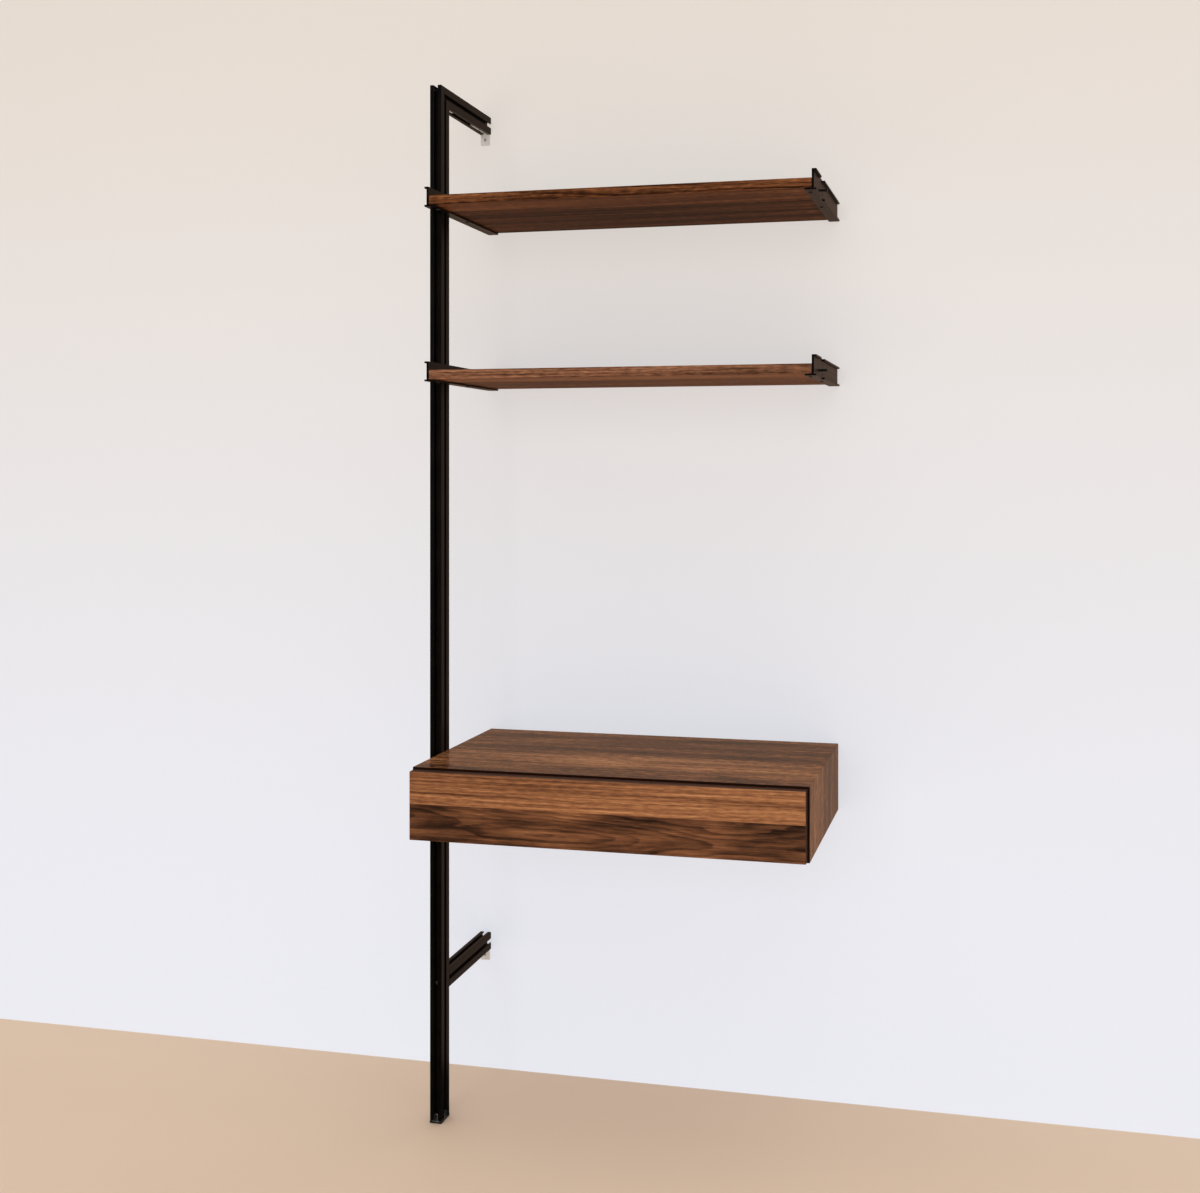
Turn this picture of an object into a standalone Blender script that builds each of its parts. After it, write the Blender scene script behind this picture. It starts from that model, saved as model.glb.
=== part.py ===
"""Wall-held desk with shelves: one slotted upright, two arms, two shelves and a desk case with a drawer.

Metres, +Z up. The origin is the middle of the foot's underside, below the upright.
+X runs along the wall towards the free end, +Y runs into the wall, and the desk faces -Y.
Pieces that touch keep CONTACT_GAP between their faces.
"""

import bmesh
import bpy
from math import cos, pi, sin

# Driving dimensions

CONTACT_GAP = 0.0003

OVERALL_HEIGHT = 2.1336
UNIT_WIDTH = 0.7855
ARM_LENGTH = 0.2155
LOWER_ARM_HEIGHT = 0.267

PROFILE_WIDTH = 0.0254
PROFILE_DEPTH = 0.0381
PROFILE_CORNER = 0.0009
SLOT_MOUTH = 0.0086
SLOT_LIP = 0.0024
SLOT_CAVITY = 0.0146
SLOT_DEPTH = 0.0090
MOUTH_CHAMFER = 0.0006

FOOT_THICKNESS = 0.005
FOOT_OVERHANG = 0.0006
FOOT_TONGUE_HEIGHT = 0.014
FOOT_TONGUE_DEPTH = 0.006

KEY_THICKNESS = 0.004
KEY_LEG = 0.045
KEY_SIDE_CLEARANCE = 0.0005
GRUB_DIAMETER = 0.004
END_SCREW_DIAMETER = 0.004
END_SCREW_HEAD = 0.008
END_SCREW_HEAD_HEIGHT = 0.0028
END_SCREW_REACH = 0.025

WALL_LEG = 0.068
WALL_PLATE_WIDTH = 0.021
WALL_PLATE_DROP = 0.024
WALL_PLATE_THICKNESS = 0.003
WALL_PLATE_CORNER = 0.002
WALL_HOLE = 0.005

SHELF_THICKNESS = 0.019
SHELF_DEPTH = 0.320
SHELF_WALL_GAP = 0.002
SHELF_EASING = 0.0008
SHELF_END_SLACK = 0.0015
UPPER_SHELF_DROP = 0.2414
SHELF_SPACING = 0.3494

BRACKET_WEB = 0.0044
BRACKET_RISE = 0.017
BRACKET_FLANGE_REACH = 0.0045
BRACKET_FLANGE = 0.0035
BRACKET_LEDGE_REACH = 0.0135
NOTCH_CLEARANCE = 0.002
NOTCH_RELIEF = 0.0002

LEDGE_SCREW_DIAMETER = 0.0035
LEDGE_SCREW_HEAD = 0.007
LEDGE_SCREW_HEAD_HEIGHT = 0.002
LEDGE_SCREW_BITE = 0.012
LEDGE_SCREW_FRONT = 0.029
LEDGE_SCREW_SPACING = 0.141

TEE_BOLT_DIAMETER = 0.005
TEE_HEAD_LENGTH = 0.013
TEE_HEAD_THICKNESS = 0.0055
TEE_HEAD_CUT = 0.002
TEE_BOLT_RISE = 0.0125
FREE_BOLT_SLACK = 0.0041
NUT_ACROSS_FLATS = 0.008
NUT_THICKNESS = 0.004
NUT_CLEARANCE = 0.0005
BOLT_END = 0.0015

CASE_TOP = 0.762
CASE_HEIGHT = 0.140
CASE_DEPTH = 0.381
CASE_PANEL = 0.019
CASE_BACK = 0.012
CASE_BOLT_INSET = 0.012

FRONT_THICKNESS = 0.019
FRONT_GAP = 0.003
FRONT_MARGIN = 0.0036
FRONT_EASING = 0.0006

DRAWER_BOARD = 0.012
DRAWER_HEIGHT = 0.080
DRAWER_DEPTH = 0.350
DRAWER_CLEARANCE_BELOW = 0.008
DRAWER_BOTTOM = 0.006
DRAWER_BOTTOM_RAISE = 0.008
DRAWER_GROOVE = 0.005

SLIDE_THICKNESS = 0.0127
SLIDE_HEIGHT = 0.035
SLIDE_LENGTH = 0.350
SLIDE_SETBACK = 0.002
SLIDE_SHEET = 0.0012
SLIDE_RACE_GAP = 0.0005

ROUND_SIDES = 16

# Places worked out from the driving dimensions

UPRIGHT_RIGHT = PROFILE_WIDTH / 2
UPRIGHT_BACK = PROFILE_DEPTH / 2
WALL = UPRIGHT_BACK + ARM_LENGTH
TOP_ARM_UNDERSIDE = OVERALL_HEIGHT - PROFILE_DEPTH
UNIT_RIGHT = UPRIGHT_RIGHT + UNIT_WIDTH
UNIT_LEFT = UPRIGHT_RIGHT + CONTACT_GAP

SHELF_BACK = WALL - SHELF_WALL_GAP
SHELF_FRONT = SHELF_BACK - SHELF_DEPTH
SHELF_RIGHT = UNIT_RIGHT - SHELF_END_SLACK
UPPER_SHELF_TOP = OVERALL_HEIGHT - UPPER_SHELF_DROP
LOWER_SHELF_TOP = UPPER_SHELF_TOP - SHELF_SPACING
BRACKET_BOLT_END = BOLT_END + FREE_BOLT_SLACK

CASE_FRONT = WALL - CASE_DEPTH
CASE_BOTTOM = CASE_TOP - CASE_HEIGHT
CASE_INNER_LEFT = UNIT_LEFT + CASE_PANEL
CASE_INNER_RIGHT = UNIT_RIGHT - CASE_PANEL
CASE_INNER_BOTTOM = CASE_BOTTOM + CASE_PANEL
CASE_INNER_TOP = CASE_TOP - CASE_PANEL

FRONT_BACK = CASE_FRONT - FRONT_GAP
DRAWER_LEFT = CASE_INNER_LEFT + SLIDE_THICKNESS
DRAWER_RIGHT = CASE_INNER_RIGHT - SLIDE_THICKNESS
DRAWER_FRONT = FRONT_BACK + CONTACT_GAP
DRAWER_END = DRAWER_FRONT + DRAWER_DEPTH
DRAWER_LOW = CASE_INNER_BOTTOM + DRAWER_CLEARANCE_BELOW
DRAWER_HIGH = DRAWER_LOW + DRAWER_HEIGHT
SLIDE_MIDDLE = (DRAWER_LOW + DRAWER_HIGH) / 2
SLIDE_FRONT = CASE_FRONT + SLIDE_SETBACK
SLIDE_END = SLIDE_FRONT + SLIDE_LENGTH

# Finishes: linear colour, roughness and metallic value

WALNUT = ((0.125, 0.058, 0.028), 0.45, 0.0)
BIRCH = ((0.56, 0.41, 0.25), 0.55, 0.0)
BLACK_ANODISED = ((0.012, 0.011, 0.010), 0.38, 0.8)
BLACK_PLASTIC = ((0.010, 0.010, 0.010), 0.55, 0.0)
BLACK_STEEL = ((0.015, 0.014, 0.013), 0.42, 0.9)
ZINC = ((0.55, 0.54, 0.52), 0.35, 1.0)

# An axis name gives the two directions of the outline and the direction of the sweep
AXES = {"X": (1, 2, 0), "Y": (0, 2, 1), "Z": (0, 1, 2)}


def clear_scene():
    for old in list(bpy.data.objects):
        bpy.data.objects.remove(old, do_unlink=True)


def finish_object(name, bm, finish):
    """Turn a bmesh into a named object with its own material."""
    bmesh.ops.recalc_face_normals(bm, faces=bm.faces)
    mesh = bpy.data.meshes.new(name)
    bm.to_mesh(mesh)
    bm.free()
    piece = bpy.data.objects.new(name, mesh)
    bpy.context.scene.collection.objects.link(piece)
    colour, roughness, metallic = finish
    material = bpy.data.materials.new(name)
    material.use_nodes = True
    shader = material.node_tree.nodes["Principled BSDF"]
    shader.inputs["Base Color"].default_value = (*colour, 1.0)
    shader.inputs["Roughness"].default_value = roughness
    shader.inputs["Metallic"].default_value = metallic
    mesh.materials.append(material)
    return piece


def rectangle(a_low, a_high, b_low, b_high):
    return [(a_low, b_low), (a_high, b_low), (a_high, b_high), (a_low, b_high)]


def circle(diameter, a=0.0, b=0.0, sides=ROUND_SIDES):
    turn = 2 * pi / sides
    radius = diameter / 2
    return [(a + radius * cos(i * turn), b + radius * sin(i * turn)) for i in range(sides)]


def rounded_corner(a, b, radius, quarter):
    """Quarter arc centred on (a, b), counted in quarter turns from the first direction."""
    steps = ROUND_SIDES // 4
    angles = [(quarter + i / steps) * pi / 2 for i in range(steps + 1)]
    return [(a + radius * cos(angle), b + radius * sin(angle)) for angle in angles]


def prism(name, outline, axis, start, end, finish, holes=()):
    """Sweep an outline, with any holes, along an axis. An end is a level or a function of the outline."""
    first, second, along = AXES[axis]
    bm = bmesh.new()

    def ring(points, level):
        verts = []
        for a, b in points:
            place = [0.0, 0.0, 0.0]
            place[first] = a
            place[second] = b
            place[along] = level(a, b) if callable(level) else level
            verts.append(bm.verts.new(place))
        return verts

    ends = ([], [])
    for points in (outline, *holes):
        near = ring(points, start)
        far = ring(points, end)
        for i in range(len(points)):
            bm.faces.new((near[i - 1], near[i], far[i], far[i - 1]))
            ends[0].append(bm.edges.get((near[i - 1], near[i])))
            ends[1].append(bm.edges.get((far[i - 1], far[i])))
    for edges in ends:
        bmesh.ops.triangle_fill(bm, use_beauty=True, edges=edges)
    return finish_object(name, bm, finish)


def box(name, x, y, z, finish):
    return prism(name, rectangle(*x, *y), "Z", *z, finish)


def rod(name, diameter, axis, centre, start, end, finish):
    return prism(name, circle(diameter, *centre), axis, start, end, finish)


def combine(target, tool, operation):
    """Apply a Boolean with another object, which is then removed."""
    modifier = target.modifiers.new(operation.lower(), "BOOLEAN")
    modifier.operation = operation
    modifier.solver = "EXACT"
    modifier.object = tool
    bpy.context.view_layer.objects.active = target
    bpy.ops.object.modifier_apply(modifier=modifier.name)
    bpy.data.objects.remove(tool, do_unlink=True)


def drill(target, diameter, axis, centre, start, end):
    hole = rod("hole", diameter + 2 * CONTACT_GAP, axis, centre, start, end, BLACK_STEEL)
    combine(target, hole, "DIFFERENCE")


def ease_edges(piece, width):
    """Break the sharp edges of a board."""
    bm = bmesh.new()
    bm.from_mesh(piece.data)
    bmesh.ops.dissolve_limit(bm, angle_limit=0.01, verts=bm.verts, edges=bm.edges)
    bmesh.ops.bevel(bm, geom=bm.edges[:], offset=width, segments=1, affect="EDGES")
    bm.to_mesh(piece.data)
    bm.free()


# Slotted profile

def slotted_side(half_face, half_depth, turn):
    """One face of the profile, from corner to corner, with its T-slot. turn swaps it to the next face."""
    mouth = SLOT_MOUTH / 2
    cavity = SLOT_CAVITY / 2
    half = [
        (half_face - PROFILE_CORNER, 0.0),
        (mouth + MOUTH_CHAMFER, 0.0),
        (mouth, MOUTH_CHAMFER),
        (mouth, SLOT_LIP),
        (cavity, SLOT_LIP),
        (cavity, SLOT_DEPTH),
    ]
    side = [(-a, d) for a, d in half] + [(a, d) for a, d in reversed(half)]
    return [turn(a, d - half_depth) for a, d in side]


def slotted_outline():
    half_width = PROFILE_WIDTH / 2
    half_depth = PROFILE_DEPTH / 2
    return [
        *slotted_side(half_width, half_depth, lambda a, d: (a, d)),
        *slotted_side(half_depth, half_width, lambda a, d: (-d, a)),
        *slotted_side(half_width, half_depth, lambda a, d: (-a, -d)),
        *slotted_side(half_depth, half_width, lambda a, d: (d, -a)),
    ]


def core_bore(a=0.0, b=0.0):
    return circle(END_SCREW_DIAMETER + 2 * CONTACT_GAP, a, b)


def shifted(points, a=0.0, b=0.0):
    return [(p + a, q + b) for p, q in points]


def build_frame():
    mitre_gap = CONTACT_GAP / 2 ** 0.5
    arm_middle = LOWER_ARM_HEIGHT + PROFILE_DEPTH / 2
    slot_floor = UPRIGHT_BACK - SLOT_DEPTH

    upright = prism(
        "upright", slotted_outline(), "Z", FOOT_THICKNESS + CONTACT_GAP,
        lambda x, y: TOP_ARM_UNDERSIDE + UPRIGHT_BACK - y - mitre_gap,
        BLACK_ANODISED, [core_bore()],
    )
    drill(upright, END_SCREW_DIAMETER, "Y", (0.0, arm_middle), -UPRIGHT_BACK, UPRIGHT_BACK)

    top_middle = OVERALL_HEIGHT - PROFILE_DEPTH / 2
    prism(
        "top_arm", shifted(slotted_outline(), b=top_middle), "Y",
        lambda x, z: UPRIGHT_BACK + TOP_ARM_UNDERSIDE - z + mitre_gap, WALL,
        BLACK_ANODISED, [core_bore(b=top_middle)],
    )
    prism(
        "lower_arm", shifted(slotted_outline(), b=arm_middle), "Y", UPRIGHT_BACK + CONTACT_GAP, WALL,
        BLACK_ANODISED, [core_bore(b=arm_middle)],
    )

    head_seat = -slot_floor - CONTACT_GAP
    screw = rod(
        "lower_arm_screw", END_SCREW_DIAMETER, "Y", (0.0, arm_middle),
        head_seat - END_SCREW_HEAD_HEIGHT / 2, UPRIGHT_BACK + END_SCREW_REACH, BLACK_STEEL,
    )
    head = rod(
        "head", END_SCREW_HEAD, "Y", (0.0, arm_middle),
        head_seat - END_SCREW_HEAD_HEIGHT, head_seat, BLACK_STEEL,
    )
    combine(screw, head, "UNION")


def grub_screw(name, axis, centre, lip_side, floor_side):
    """Set screw in a slot key, from the key's outer face to the slot's floor."""
    rod(name, GRUB_DIAMETER, axis, centre, lip_side, floor_side, BLACK_STEEL)


def build_mitre_key():
    """L-shaped key in the back slot of the upright and the lower slot of the top arm."""
    lip_face = SLOT_LIP + CONTACT_GAP
    inner_y = UPRIGHT_BACK - lip_face
    outer_y = inner_y - KEY_THICKNESS
    inner_z = TOP_ARM_UNDERSIDE + lip_face
    outer_z = inner_z + KEY_THICKNESS
    low = TOP_ARM_UNDERSIDE - KEY_LEG
    far = UPRIGHT_BACK + KEY_LEG
    outline = [
        (outer_y, low), (inner_y, low), (inner_y, inner_z),
        (far, inner_z), (far, outer_z), (outer_y, outer_z),
    ]
    half_width = SLOT_CAVITY / 2 - KEY_SIDE_CLEARANCE
    key = prism("mitre_key", outline, "X", -half_width, half_width, ZINC)

    screw_z = TOP_ARM_UNDERSIDE - KEY_LEG / 2
    screw_y = UPRIGHT_BACK + KEY_LEG / 2
    floor_y = UPRIGHT_BACK - SLOT_DEPTH + CONTACT_GAP
    floor_z = TOP_ARM_UNDERSIDE + SLOT_DEPTH - CONTACT_GAP
    drill(key, GRUB_DIAMETER, "Y", (0.0, screw_z), floor_y, UPRIGHT_BACK)
    drill(key, GRUB_DIAMETER, "Z", (0.0, screw_y), TOP_ARM_UNDERSIDE, floor_z)
    grub_screw("mitre_key_lower_grub_screw", "Y", (0.0, screw_z), inner_y, floor_y)
    grub_screw("mitre_key_upper_grub_screw", "Z", (0.0, screw_y), inner_z, floor_z)


def build_wall_bracket(name, arm_underside):
    """Zinc angle: a leg clamped in the arm's lower slot and a drilled plate flat on the wall."""
    leg_low = arm_underside + SLOT_LIP + CONTACT_GAP
    leg_high = leg_low + KEY_THICKNESS
    leg_half = SLOT_CAVITY / 2 - KEY_SIDE_CLEARANCE
    neck_half = SLOT_MOUTH / 2 - CONTACT_GAP
    plate_half = WALL_PLATE_WIDTH / 2
    plate_top = arm_underside - CONTACT_GAP
    plate_low = plate_top - WALL_PLATE_DROP
    neck_top = (leg_low + leg_high) / 2
    corner_x = plate_half - WALL_PLATE_CORNER
    corner_z = plate_low + WALL_PLATE_CORNER
    outline = [
        *rounded_corner(-corner_x, corner_z, WALL_PLATE_CORNER, 2),
        *rounded_corner(corner_x, corner_z, WALL_PLATE_CORNER, 3),
        (plate_half, plate_top), (neck_half, plate_top), (neck_half, neck_top),
        (-neck_half, neck_top), (-neck_half, plate_top), (-plate_half, plate_top),
    ]
    hole_z = (plate_low + plate_top) / 2
    plate_front = WALL - WALL_PLATE_THICKNESS
    bracket = prism(name, outline, "Y", plate_front, WALL, ZINC, [circle(WALL_HOLE, 0.0, hole_z)])
    leg_end = WALL - WALL_PLATE_THICKNESS / 2
    leg = box("leg", (-leg_half, leg_half), (WALL - WALL_LEG, leg_end), (leg_low, leg_high), ZINC)
    combine(bracket, leg, "UNION")

    screw_y = WALL - WALL_LEG / 2
    floor = arm_underside + SLOT_DEPTH - CONTACT_GAP
    drill(bracket, GRUB_DIAMETER, "Z", (0.0, screw_y), arm_underside, floor)
    grub_screw(name + "_grub_screw", "Z", (0.0, screw_y), leg_low, floor)


def build_foot_cap():
    """Moulded foot: a plate under the upright, with a tongue up each slot mouth."""
    half_width = PROFILE_WIDTH / 2 + FOOT_OVERHANG
    half_depth = PROFILE_DEPTH / 2 + FOOT_OVERHANG
    width_span = (-half_width, half_width)
    depth_span = (-half_depth, half_depth)
    cap = box("foot_cap", width_span, depth_span, (0.0, FOOT_THICKNESS), BLACK_PLASTIC)
    ease_edges(cap, PROFILE_CORNER)
    tongue_half = SLOT_MOUTH / 2 - CONTACT_GAP
    rise = (FOOT_THICKNESS / 2, FOOT_THICKNESS + FOOT_TONGUE_HEIGHT)
    across = (-tongue_half, tongue_half)
    for side in (-1, 1):
        depth = sorted(side * (PROFILE_DEPTH / 2 - inset) for inset in (0.0, FOOT_TONGUE_DEPTH))
        combine(cap, box("tongue", across, depth, rise, BLACK_PLASTIC), "UNION")
        width = sorted(side * (PROFILE_WIDTH / 2 - inset) for inset in (0.0, FOOT_TONGUE_DEPTH))
        combine(cap, box("tongue", width, across, rise, BLACK_PLASTIC), "UNION")


# Hammer-head bolts hold brackets and desk case to the upright's slot

def build_tee_bolt(name, face, outward, height, clamped, bolt_end, slack=0.0):
    """Bolt whose hammer head sits behind the slot lips, with a nut on the far side of the clamped piece.

    A free bolt is pushed out by some slack, which shortens its end beyond the nut.
    """
    head_near = face + outward * (SLOT_LIP + 2 * CONTACT_GAP + slack)
    head_far = head_near + outward * TEE_HEAD_THICKNESS
    nut_seat = face - outward * (clamped + CONTACT_GAP)
    nut_end = nut_seat - outward * NUT_THICKNESS
    shank_end = nut_end - outward * (bolt_end - slack)
    half_length = TEE_HEAD_LENGTH / 2
    half_height = TEE_BOLT_DIAMETER / 2
    low = height - half_height
    high = height + half_height
    head_outline = [
        (-half_length, low), (half_length - TEE_HEAD_CUT, low), (half_length, low + TEE_HEAD_CUT),
        (half_length, high), (TEE_HEAD_CUT - half_length, high), (-half_length, high - TEE_HEAD_CUT),
    ]
    bolt = prism(name, head_outline, "X", *sorted((head_near, head_far)), BLACK_STEEL)
    shank_start = (head_near + head_far) / 2
    shank_span = sorted((shank_start, shank_end))
    shank = rod("shank", TEE_BOLT_DIAMETER - CONTACT_GAP, "X", (0.0, height), *shank_span, BLACK_STEEL)
    combine(bolt, shank, "UNION")

    across_corners = NUT_ACROSS_FLATS / cos(pi / 6)
    bore = circle(TEE_BOLT_DIAMETER + CONTACT_GAP, 0.0, height)
    prism(
        name + "_nut", circle(across_corners, 0.0, height, 6), "X",
        *sorted((nut_seat, nut_end)), BLACK_STEEL, [bore],
    )


# Shelves

def build_bracket(name, face, outward, underside, bolt_slack):
    """Extruded end bracket: web, inward ledge under the shelf, outward flanges notched for the upright."""
    bottom = underside - CONTACT_GAP - BRACKET_FLANGE
    top = underside + SHELF_THICKNESS + BRACKET_RISE
    web = -BRACKET_WEB
    ledge = web - BRACKET_LEDGE_REACH
    section = [
        (ledge, bottom), (BRACKET_FLANGE_REACH, bottom), (BRACKET_FLANGE_REACH, bottom + BRACKET_FLANGE),
        (0.0, bottom + BRACKET_FLANGE), (0.0, top - BRACKET_FLANGE),
        (BRACKET_FLANGE_REACH, top - BRACKET_FLANGE), (BRACKET_FLANGE_REACH, top),
        (web, top), (web, bottom + BRACKET_FLANGE), (ledge, bottom + BRACKET_FLANGE),
    ]
    outline = [(face + outward * a, z) for a, z in section]
    bracket = prism(name, outline, "Y", SHELF_FRONT, SHELF_BACK, BLACK_ANODISED)

    notch_half = PROFILE_DEPTH / 2 + NOTCH_CLEARANCE
    notch_x = sorted((face - outward * NOTCH_RELIEF, face + outward * 2 * BRACKET_FLANGE_REACH))
    notch_z = (bottom - BRACKET_FLANGE, top + BRACKET_FLANGE)
    notch = box("notch", notch_x, (-notch_half, notch_half), notch_z, BLACK_ANODISED)
    combine(bracket, notch, "DIFFERENCE")

    bolt_height = underside + TEE_BOLT_RISE
    through = sorted((face + outward * BRACKET_FLANGE, face - outward * 2 * BRACKET_WEB))
    drill(bracket, TEE_BOLT_DIAMETER, "X", (0.0, bolt_height), *through)
    build_tee_bolt(name + "_tee_bolt", face, outward, bolt_height, BRACKET_WEB, BRACKET_BOLT_END, bolt_slack)
    return bracket


def build_ledge_screw(name, x, y, underside):
    """Pan-head screw up through the bracket's ledge into the shelf."""
    head_top = underside - 2 * CONTACT_GAP - BRACKET_FLANGE
    head_low = head_top - LEDGE_SCREW_HEAD_HEIGHT
    screw = rod(name, LEDGE_SCREW_HEAD, "Z", (x, y), head_low, head_top, BLACK_STEEL)
    shank_low = (head_low + head_top) / 2
    tip = underside + LEDGE_SCREW_BITE
    shank = rod("shank", LEDGE_SCREW_DIAMETER, "Z", (x, y), shank_low, tip, BLACK_STEEL)
    combine(screw, shank, "UNION")


def cut_nut_pocket(shelf, web_inside, outward, underside):
    """Pocket in the shelf's end that lets the board down over the bracket's nut and bolt end."""
    half_width = NUT_ACROSS_FLATS / cos(pi / 6) / 2 + NUT_CLEARANCE
    roof = underside + TEE_BOLT_RISE + NUT_ACROSS_FLATS / 2 + NUT_CLEARANCE
    depth = CONTACT_GAP + NUT_THICKNESS + BRACKET_BOLT_END + NUT_CLEARANCE
    span = sorted((web_inside, web_inside - outward * depth))
    below = underside - SHELF_THICKNESS
    pocket = box("pocket", span, (-half_width, half_width), (below, roof), WALNUT)
    combine(shelf, pocket, "DIFFERENCE")


def build_shelf(name, top):
    underside = top - SHELF_THICKNESS
    inset = BRACKET_WEB + CONTACT_GAP
    span = (UNIT_LEFT + inset, SHELF_RIGHT - inset)
    shelf = box(name, span, (SHELF_FRONT, SHELF_BACK), (underside, top), WALNUT)
    ease_edges(shelf, SHELF_EASING)

    screw_rows = (SHELF_FRONT + LEDGE_SCREW_FRONT, SHELF_FRONT + LEDGE_SCREW_FRONT + LEDGE_SCREW_SPACING)
    ends = (("left", UNIT_LEFT, -1, 0.0), ("right", SHELF_RIGHT, 1, FREE_BOLT_SLACK))
    for side, face, outward, bolt_slack in ends:
        bracket_name = f"{name}_{side}_bracket"
        bracket = build_bracket(bracket_name, face, outward, underside, bolt_slack)
        cut_nut_pocket(shelf, face - outward * BRACKET_WEB, outward, underside)
        screw_x = face - outward * (BRACKET_WEB + BRACKET_LEDGE_REACH / 2)
        for place, screw_y in zip(("front", "rear"), screw_rows):
            below = underside - 2 * BRACKET_FLANGE
            above_ledge = underside + BRACKET_FLANGE / 2
            blind_end = underside + LEDGE_SCREW_BITE + CONTACT_GAP
            drill(bracket, LEDGE_SCREW_DIAMETER, "Z", (screw_x, screw_y), below, above_ledge)
            drill(shelf, LEDGE_SCREW_DIAMETER, "Z", (screw_x, screw_y), below, blind_end)
            build_ledge_screw(f"{bracket_name}_{place}_screw", screw_x, screw_y, underside)


# Desk case: four mitred boards and a back

def build_case():
    outer = (
        (UNIT_LEFT, CASE_BOTTOM), (UNIT_RIGHT, CASE_BOTTOM),
        (UNIT_RIGHT, CASE_TOP), (UNIT_LEFT, CASE_TOP),
    )
    inner = (
        (CASE_INNER_LEFT, CASE_INNER_BOTTOM), (CASE_INNER_RIGHT, CASE_INNER_BOTTOM),
        (CASE_INNER_RIGHT, CASE_INNER_TOP), (CASE_INNER_LEFT, CASE_INNER_TOP),
    )
    mitre_inset = CONTACT_GAP / 2 ** 0.5
    names = ("case_bottom", "case_right_side", "case_top", "case_left_side")
    runs = ((1, 0), (0, 1), (-1, 0), (0, -1))
    boards = {}
    for i, (name, run) in enumerate(zip(names, runs)):
        j = (i + 1) % 4
        shift_a = run[0] * mitre_inset
        shift_b = run[1] * mitre_inset
        outline = [
            (outer[i][0] + shift_a, outer[i][1] + shift_b), (outer[j][0] - shift_a, outer[j][1] - shift_b),
            (inner[j][0] - shift_a, inner[j][1] - shift_b), (inner[i][0] + shift_a, inner[i][1] + shift_b),
        ]
        boards[name] = prism(name, outline, "Y", CASE_FRONT, WALL, WALNUT)

    box(
        "case_back",
        (CASE_INNER_LEFT + CONTACT_GAP, CASE_INNER_RIGHT - CONTACT_GAP),
        (WALL - CASE_BACK, WALL),
        (CASE_INNER_BOTTOM + CONTACT_GAP, CASE_INNER_TOP - CONTACT_GAP),
        WALNUT,
    )

    bolt_heights = {
        "lower": CASE_INNER_BOTTOM + CASE_BOLT_INSET,
        "upper": CASE_INNER_TOP - CASE_BOLT_INSET,
    }
    for place, height in bolt_heights.items():
        through = (UNIT_LEFT - CASE_PANEL, CASE_INNER_LEFT + CASE_PANEL)
        drill(boards["case_left_side"], TEE_BOLT_DIAMETER, "X", (0.0, height), *through)
        build_tee_bolt(f"case_{place}_tee_bolt", UNIT_LEFT, -1, height, CASE_PANEL, BOLT_END)


# Drawer and its telescopic slides

def motion_empty(name, location):
    empty = bpy.data.objects.new(name, None)
    empty.location = location
    bpy.context.scene.collection.objects.link(empty)
    return empty


def hang_on(empty, pieces):
    """Parent pieces to the empty on their sliding axis, leaving them where they are."""
    bpy.context.view_layer.update()
    for piece in pieces:
        piece.parent = empty
        piece.matrix_parent_inverse = empty.matrix_world.inverted()


def build_drawer():
    front = box(
        "drawer_front",
        (UNIT_LEFT + FRONT_MARGIN, UNIT_RIGHT - FRONT_MARGIN),
        (FRONT_BACK - FRONT_THICKNESS, FRONT_BACK),
        (CASE_BOTTOM + FRONT_MARGIN, CASE_TOP - FRONT_MARGIN),
        WALNUT,
    )
    ease_edges(front, FRONT_EASING)

    floor_low = DRAWER_LOW + DRAWER_BOTTOM_RAISE
    groove_low = floor_low - CONTACT_GAP
    groove_high = floor_low + DRAWER_BOTTOM + CONTACT_GAP

    def grooved(face, inward):
        """Section of a board with a groove for the drawer bottom in its inner face."""
        outer_face = face - inward * DRAWER_BOARD
        groove_end = face - inward * DRAWER_GROOVE
        return [
            (outer_face, DRAWER_LOW), (face, DRAWER_LOW), (face, groove_low), (groove_end, groove_low),
            (groove_end, groove_high), (face, groove_high), (face, DRAWER_HIGH), (outer_face, DRAWER_HIGH),
        ]

    inner_left = DRAWER_LEFT + DRAWER_BOARD
    inner_right = DRAWER_RIGHT - DRAWER_BOARD
    left = prism("drawer_left_side", grooved(inner_left, 1), "Y", DRAWER_FRONT, DRAWER_END, BIRCH)
    right = prism("drawer_right_side", grooved(inner_right, -1), "Y", DRAWER_FRONT, DRAWER_END, BIRCH)
    across = (inner_left + CONTACT_GAP, inner_right - CONTACT_GAP)
    inner_front = DRAWER_FRONT + DRAWER_BOARD
    box_front = prism("drawer_box_front", grooved(inner_front, 1), "X", *across, BIRCH)
    back_span = (DRAWER_END - DRAWER_BOARD, DRAWER_END)
    back = box("drawer_back", across, back_span, (groove_high, DRAWER_HIGH), BIRCH)
    tongue = DRAWER_GROOVE - CONTACT_GAP
    bottom = box(
        "drawer_bottom",
        (inner_left - tongue, inner_right + tongue),
        (inner_front - tongue, DRAWER_END),
        (floor_low, floor_low + DRAWER_BOTTOM),
        BIRCH,
    )
    return [front, left, right, box_front, back, bottom]


def channel(web_face, open_direction, reach, half_height):
    """C-shaped section of a slide member: a web and two flanges of one sheet thickness."""
    web_inner = web_face + open_direction * SLIDE_SHEET
    tip = web_face + open_direction * reach
    high = SLIDE_MIDDLE + half_height
    low = SLIDE_MIDDLE - half_height
    return [
        (web_face, low), (tip, low), (tip, low + SLIDE_SHEET), (web_inner, low + SLIDE_SHEET),
        (web_inner, high - SLIDE_SHEET), (tip, high - SLIDE_SHEET), (tip, high), (web_face, high),
    ]


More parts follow.
